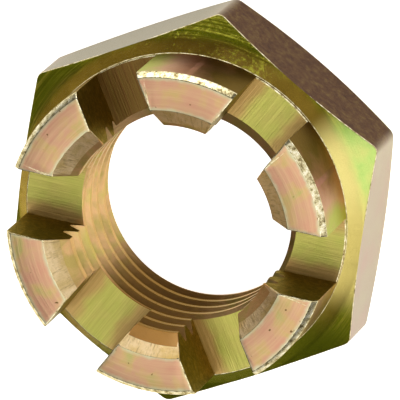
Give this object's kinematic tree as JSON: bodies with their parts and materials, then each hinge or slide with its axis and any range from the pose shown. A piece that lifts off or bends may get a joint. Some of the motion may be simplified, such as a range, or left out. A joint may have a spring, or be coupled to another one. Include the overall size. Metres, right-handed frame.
{
  "type": "castle nut",
  "caption": "Thin slotted hexagon nut with a turned crown: it tightens on a threaded shaft end and is locked by a cotter pin put through its slots.",
  "frame": {"origin": "centre of the flat bearing face, on the thread's axis", "axes": "+Z along the thread's axis from the bearing face towards the slotted crown, +X along one cotter slot and square to a hexagon flat, +Y towards a hexagon corner"},
  "size_m": [0.024, 0.0276, 0.012],
  "materials": {
    "yellow_zinc": "yellow chromate over zinc plating on turned and milled steel"
  },
  "bodies": {
    "root": {"castle_nut": "yellow_zinc"}
  },
  "joints": []
}
